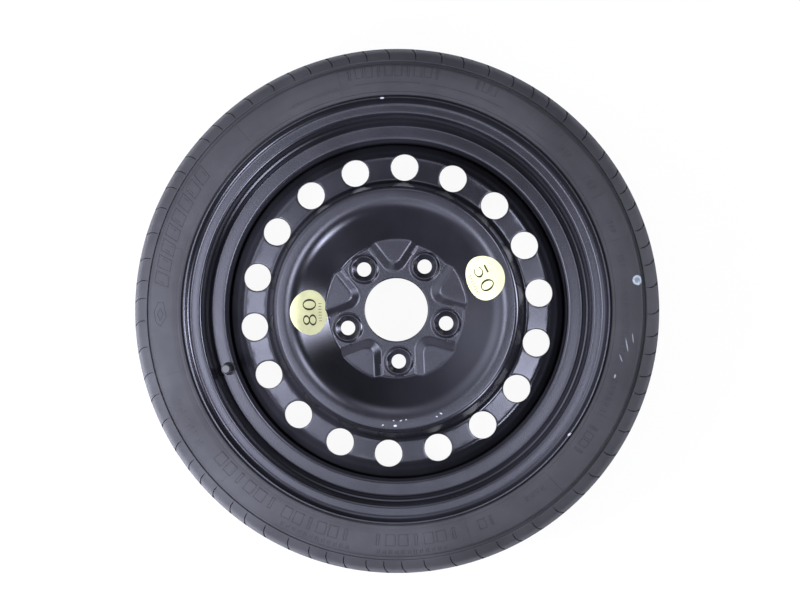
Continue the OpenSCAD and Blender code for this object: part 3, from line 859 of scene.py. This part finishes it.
def build_marks():
    strokes = []
    for first, last, r_px, h_px, kind, count in MARKS:
        r, h = r_px * PX, h_px * PX
        step = (first - last) / count
        w = math.radians(step) * r * (0.72 if kind != "bars" else 0.66)
        for k in range(count):
            middle = first - step * (k + 0.5)
            for line, closed in letter(kind, w, h, k):
                line = np.array(line)
                if closed:
                    line = refined(np.vstack([line, line[:1]]), 3)[:-1]
                width = {"bars": 0.9, "frame": 1.0}.get(kind, 1.15)
                grid = ribbon(line, width, 0.45 if kind != "bars" else 0.4, closed)
                grid[..., 0] = middle - np.degrees(grid[..., 0] / r)
                grid[..., 1] += r
                strokes.append((grid, closed))
    for a in CROSS_LINES:
        rs = np.linspace(LIP_R + 9, LIP_R + 34.5, 9)
        grid = ribbon(np.stack([0 * rs, rs - 255], 1), 0.5, 0.22, False)
        grid[..., 0] = a - np.degrees(grid[..., 0] / 255)
        grid[..., 1] += 255
        strokes.append((grid, False))
    for first, last, r_px in ROUND_LINES:
        us = np.arange(last, first, 0.5)
        grid = ribbon(np.stack([us * 4.4, 0 * us], 1), 0.8, 0.35, False)
        grid[..., 0] /= 4.4
        grid[..., 1] += r_px * PX
        strokes.append((grid, False))
    obj = stroke_mesh("sidewall_marks", strokes, sidewall_map(), sharp=60)
    place(obj, "wheel", "tyre_rubber")


build_rim()
build_disc()
build_tyre()
build_sticker("label_80", "80", KM_ANGLE, KM_R, 0, -14.6)
build_sticker("label_50", "50", MILE_ANGLE, MILE_R, 7, -16.4)
build_marks()


# Materials


class Nodes:
    """Short helper to write the node tree of a material or of the world."""

    def __init__(self, name, world=False):
        self.owner = (bpy.data.worlds if world else bpy.data.materials).new(name)
        self.owner.use_nodes = True
        self.tree = self.owner.node_tree
        self.shader = self.tree.nodes.get("Principled BSDF")
        self.place = None

    def add(self, kind, inputs=None, **options):
        node = self.tree.nodes.new(kind)
        for key, value in options.items():
            setattr(node, key, value)
        for key, value in (inputs or {}).items():
            self.set(node.inputs[key], value)
        return node

    def set(self, socket, value):
        if isinstance(value, bpy.types.NodeSocket):
            self.tree.links.new(value, socket)
        else:
            socket.default_value = value

    def coords(self):
        if self.place is None:
            self.place = self.add("ShaderNodeTexCoord").outputs["Object"]
        return self.place

    def noise(self, scale, detail=3, rough=0.5, vector=None):
        node = self.add("ShaderNodeTexNoise", {"Scale": scale, "Detail": detail, "Roughness": rough})
        self.set(node.inputs["Vector"], vector or self.coords())
        return node.outputs["Fac"]

    def ramp(self, value, low, high, to_low=0.0, to_high=1.0):
        node = self.add("ShaderNodeMapRange", {
            "Value": value, "From Min": low, "From Max": high, "To Min": to_low, "To Max": to_high})
        return node.outputs["Result"]

    def math(self, kind, a, b=0.0):
        node = self.add("ShaderNodeMath", operation=kind)
        self.set(node.inputs[0], a)
        self.set(node.inputs[1], b)
        return node.outputs[0]

    def mix(self, fac, a, b):
        node = self.add("ShaderNodeMix", data_type="RGBA")
        for key, value in ((0, fac), (6, a), (7, b)):
            self.set(node.inputs[key], value if isinstance(value, (float, bpy.types.NodeSocket)) else (*value, 1.0))
        return node.outputs[2]

    def bump(self, height, strength, distance, normal=None):
        node = self.add("ShaderNodeBump", {"Height": height, "Strength": strength, "Distance": distance})
        if normal:
            self.set(node.inputs["Normal"], normal)
        return node.outputs["Normal"]

    def finish(self, **inputs):
        for key, value in inputs.items():
            socket = self.shader.inputs[key.replace("_", " ")]
            if isinstance(value, tuple):
                value = (*value, 1.0)
            self.set(socket, value)
        return self.owner


# Worn spots: photograph's x and y, half length, half width, turn in degrees, depth below the lip
CHIPS = [
    (569, 434, 2.2, 1.1, 40, 0), (382, 97, 2.0, 0.9, 5, 0), (395.5, 423, 1.6, 1.0, 6, 24),
    (440, 411, 1.5, 0.6, -20, 24), (436, 414, 1.0, 0.5, -20, 24), (383.5, 422.5, 1.0, 0.6, 30, 24),
    (401, 418, 1.4, 0.4, 30, 24), (406, 417, 1.0, 0.4, 30, 24), (394, 418, 0.7, 0.5, 0, 24),
]
RUBS = [
    (638, 283, 2.6, 0.8, 85, 2), (626, 345, 7.0, 0.6, 100, 2), (632, 338, 5.0, 0.5, 96, 2),
    (620, 358, 4.0, 0.5, 110, 2), (614, 376, 2.2, 0.9, 70, 2),
]


def photo_point(x, y, depth):
    """Metres across the wheel for a pixel of the photograph at a depth in mm below the lip."""
    scale = PX_PER_M * 1600 / (1600 + depth)
    return (x - 396.0) / scale, (309.4 - y) / scale, scale


def spots(n, marks, ragged=0.5):
    """A mask of small worn spots with broken edges."""
    sep = n.add("ShaderNodeSeparateXYZ", {0: n.coords()})
    x, y = sep.outputs[0], sep.outputs[1]
    edge = n.ramp(n.noise(900, 3, 0.7), 0.25, 0.75, 1 - ragged, 1 + ragged)
    total = None
    for px, py, long, wide, turn, depth in marks:
        cx, cy, scale = photo_point(px, py, depth)
        c, s = math.cos(math.radians(turn)), math.sin(math.radians(turn))
        dx, dy = n.math("SUBTRACT", x, cx), n.math("SUBTRACT", y, cy)
        u = n.math("ADD", n.math("MULTIPLY", dx, c * scale / long), n.math("MULTIPLY", dy, s * scale / long))
        v = n.math("SUBTRACT", n.math("MULTIPLY", dy, c * scale / wide), n.math("MULTIPLY", dx, s * scale / wide))
        d = n.math("ADD", n.math("MULTIPLY", u, u), n.math("MULTIPLY", v, v))
        hit = n.ramp(n.math("DIVIDE", d, edge), 1.15, 0.7)
        total = hit if total is None else n.math("MAXIMUM", total, hit)
    facing = n.add("ShaderNodeNewGeometry").outputs["Normal"]
    up = n.add("ShaderNodeSeparateXYZ", {0: facing}).outputs[2]
    return n.math("MULTIPLY", total, n.ramp(up, 0.05, 0.3))


def black_paint():
    n = Nodes("black_paint")
    haze = n.noise(9, 4, 0.6)
    colour = n.mix(n.ramp(haze, 0.35, 0.7), (0.006, 0.006, 0.007), (0.011, 0.011, 0.014))
    chips = spots(n, CHIPS)
    colour = n.mix(n.math("MULTIPLY", chips, 0.7), colour, (0.46, 0.46, 0.50))
    rough = n.ramp(n.noise(30, 4, 0.6), 0.3, 0.75, 0.16, 0.22)
    rough = n.math("ADD", rough, n.math("MULTIPLY", chips, 0.35))
    peel = n.bump(n.noise(700, 2, 0.5), 0.12, 0.0004)
    return n.finish(
        Base_Color=colour, Roughness=rough, Normal=peel,
        Specular_IOR_Level=0.95, Specular_Tint=(0.86, 0.87, 1.0))


def stamp_ring(n):
    """A small round inspection stamp on the sidewall, worn and pale."""
    cx, cy, scale = photo_point(636.9, 280.2, 1)
    sep = n.add("ShaderNodeSeparateXYZ", {0: n.coords()})
    dx, dy = n.math("SUBTRACT", sep.outputs[0], cx), n.math("SUBTRACT", sep.outputs[1], cy)
    r = n.math("MULTIPLY", n.math("SQRT", n.math("ADD", n.math("MULTIPLY", dx, dx), n.math("MULTIPLY", dy, dy))), scale)
    ring = n.math("MULTIPLY", n.ramp(r, 2.2, 3.0), n.ramp(r, 5.2, 4.4))
    fill = n.ramp(r, 5.0, 4.2, 0.0, 0.35)
    ring = n.math("MULTIPLY", ring, n.ramp(n.noise(500, 3, 0.7), 0.3, 0.6, 0.45, 1.0))
    return n.math("MAXIMUM", ring, fill)


def tyre_rubber():
    n = Nodes("tyre_rubber")
    cloud = n.noise(14, 5, 0.6)
    colour = n.mix(n.ramp(cloud, 0.3, 0.75), (0.022, 0.022, 0.0245), (0.038, 0.038, 0.042))
    colour = n.mix(n.math("MULTIPLY", spots(n, RUBS), 0.6), colour, (0.30, 0.31, 0.34))
    colour = n.mix(stamp_ring(n), colour, (0.36, 0.42, 0.46))
    grain = n.bump(n.noise(1500, 3, 0.6), 0.25, 0.0004)
    return n.finish(Base_Color=colour, Roughness=0.55, Normal=grain, Specular_IOR_Level=0.28)


def plain(name, colour, rough, metal=0.0, scale=400, bump=0.1, gloss=0.5):
    n = Nodes(name)
    base = n.noise(scale / 8, 4, 0.6)
    dark = tuple(c * 0.8 for c in colour)
    shade = n.mix(n.ramp(base, 0.3, 0.7), dark, colour)
    return n.finish(
        Base_Color=shade, Roughness=rough, Metallic=metal, Specular_IOR_Level=gloss,
        Normal=n.bump(n.noise(scale, 3, 0.6), bump, 0.0003))


FINISHES = {
    "black_paint": black_paint(),
    "tyre_rubber": tyre_rubber(),
    "weld": plain("weld_metal", (0.025, 0.025, 0.028), 0.4, bump=0.3),
    "sticker": plain("sticker_vinyl", (0.54, 0.54, 0.30), 0.7, bump=0.03, gloss=0.1),
    "ink": plain("sticker_ink", (0.03, 0.03, 0.012), 0.7, bump=0.02, gloss=0.1),
    "black_rubber": plain("black_rubber", (0.03, 0.03, 0.034), 0.34, gloss=0.8),
    "brass": plain("brass", (0.75, 0.55, 0.26), 0.28, 1.0),
    "black_plastic": plain("black_plastic", (0.03, 0.03, 0.034), 0.26, gloss=0.9),
    "white_plastic": plain("white_plastic", (0.8, 0.78, 0.72), 0.5),
    "spring_steel": plain("spring_steel", (0.6, 0.6, 0.62), 0.3, 1.0),
}
SLOT_OF = {s["node"]: s["material_slot"] for s in frame["record"]["subparts"]}


def dress_all():
    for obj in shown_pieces():
        slot = obj.get("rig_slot") or SLOT_OF.get(obj.name)
        obj.data.materials.clear()
        obj.data.materials.append(FINISHES["ink" if obj.get("ink") else slot])


dress_all()


# Floor, light and camera

CAMERA_DISTANCE = 1.6
CAMERA_TILT = math.radians(1.5)
CAMERA_LENS = 65.4
# Where the wheel's middle lies in the photograph, in pixels from the frame's middle
MIDDLE_RIGHT_PX, MIDDLE_UP_PX = -4.0, -9.4

def build_floor():
    size = 4.0
    bpy.ops.mesh.primitive_plane_add(size=size, location=(0, 0, FLOOR_Z * MM))
    floor = bpy.context.object
    floor.name = "floor"
    n = Nodes("floor_white")
    out = n.tree.nodes["Material Output"]
    path = n.add("ShaderNodeLightPath")
    glow = n.add("ShaderNodeEmission", {"Color": (1, 1, 1, 1), "Strength": 1.0})
    mix = n.add("ShaderNodeMixShader", {0: n.math("MULTIPLY", path.outputs["Is Camera Ray"], 0.94)})
    n.set(mix.inputs[1], n.shader.outputs[0])
    n.set(mix.inputs[2], glow.outputs[0])
    n.set(out.inputs["Surface"], mix.outputs[0])
    n.finish(Base_Color=(0.9, 0.9, 0.9), Roughness=0.9)
    floor.data.materials.append(n.owner)


# Soft panels round the wheel: degrees from +X, degrees from the zenith, angular size, strength
PANELS = [
    (-22.7, 14.8, 0.090, 9.6),
    (-173.6, 13.4, 0.090, 7.6),
    (36.5, 28.6, 0.094, 8.0),
    (6.9, 73.8, 0.135, 18.0),
    (164.3, 51.1, 0.360, 2.1),
    (85.0, 48.0, 0.170, 1.3),
    (-108.0, 24.0, 0.120, 2.0),
    (-44.5, 55.9, 0.101, 16.0),
]


NEAR_PLACE = (-0.55, -0.24, 0.46)
NEAR_POWER = 18.0


def toward(azimuth, off_zenith):
    a, b = math.radians(azimuth), math.radians(off_zenith)
    return (math.cos(a) * math.sin(b), math.sin(a) * math.sin(b), math.cos(b))


def build_light():
    """A studio of soft panels, white where the camera looks past the wheel."""
    n = Nodes("studio", world=True)
    n.tree.nodes.clear()
    bpy.context.scene.world = n.owner
    ray = n.add("ShaderNodeTexCoord").outputs["Generated"]
    glow = 0.02
    for azimuth, off_zenith, size, strength in PANELS:
        dot = n.add("ShaderNodeVectorMath", {0: ray, 1: toward(azimuth, off_zenith)}, operation="DOT_PRODUCT")
        fall = n.math("EXPONENT", n.math("DIVIDE", n.math("SUBTRACT", dot.outputs["Value"], 1.0), size ** 2))
        glow = n.math("ADD", glow, n.math("MULTIPLY", fall, strength))
    light = n.add("ShaderNodeBackground", {"Color": (0.93, 0.95, 1.10, 1), "Strength": glow})
    white = n.add("ShaderNodeBackground", {"Color": (1, 1, 1, 1)})
    path = n.add("ShaderNodeLightPath")
    mix = n.add("ShaderNodeMixShader", {0: path.outputs["Is Camera Ray"], 1: light.outputs[0], 2: white.outputs[0]})
    n.add("ShaderNodeOutputWorld", {"Surface": mix.outputs[0]})
    light = bpy.data.lights.new("near_lamp", "AREA")
    light.size = 0.35
    light.energy = NEAR_POWER
    light.color = (0.93, 0.95, 1.10)
    lamp = bpy.data.objects.new("near_lamp", light)
    lamp.location = NEAR_PLACE
    lamp.visible_glossy = False
    lamp.rotation_euler = Vector(NEAR_PLACE).to_track_quat("Z", "Y").to_euler()
    bpy.context.scene.collection.objects.link(lamp)


def build_camera():
    lip_z = RIM_HIGH[2] * MM
    tilt = math.sin(CAMERA_TILT) / math.sqrt(2)
    back = Vector((tilt, -tilt, math.cos(CAMERA_TILT))).normalized()
    right = Vector((0, 1, 0)).cross(back).normalized()
    up = back.cross(right)
    centre = Vector((0, 0, lip_z))
    eye = centre + back * CAMERA_DISTANCE
    target = centre - right * (MIDDLE_RIGHT_PX / PX_PER_M) - up * (MIDDLE_UP_PX / PX_PER_M)
    cam = bpy.data.cameras.new("camera")
    cam.lens = CAMERA_LENS
    cam.sensor_width = 36
    cam.clip_end = 20
    obj = bpy.data.objects.new("camera", cam)
    look = (eye - target).normalized()
    side = Vector((0, 1, 0)).cross(look).normalized()
    turn = Matrix((side, look.cross(side), look)).transposed()
    obj.matrix_world = Matrix.Translation(eye) @ turn.to_4x4()
    bpy.context.scene.collection.objects.link(obj)
    bpy.context.scene.camera = obj


build_floor()
build_light()
build_camera()
bpy.context.scene.view_settings.view_transform = "Standard"
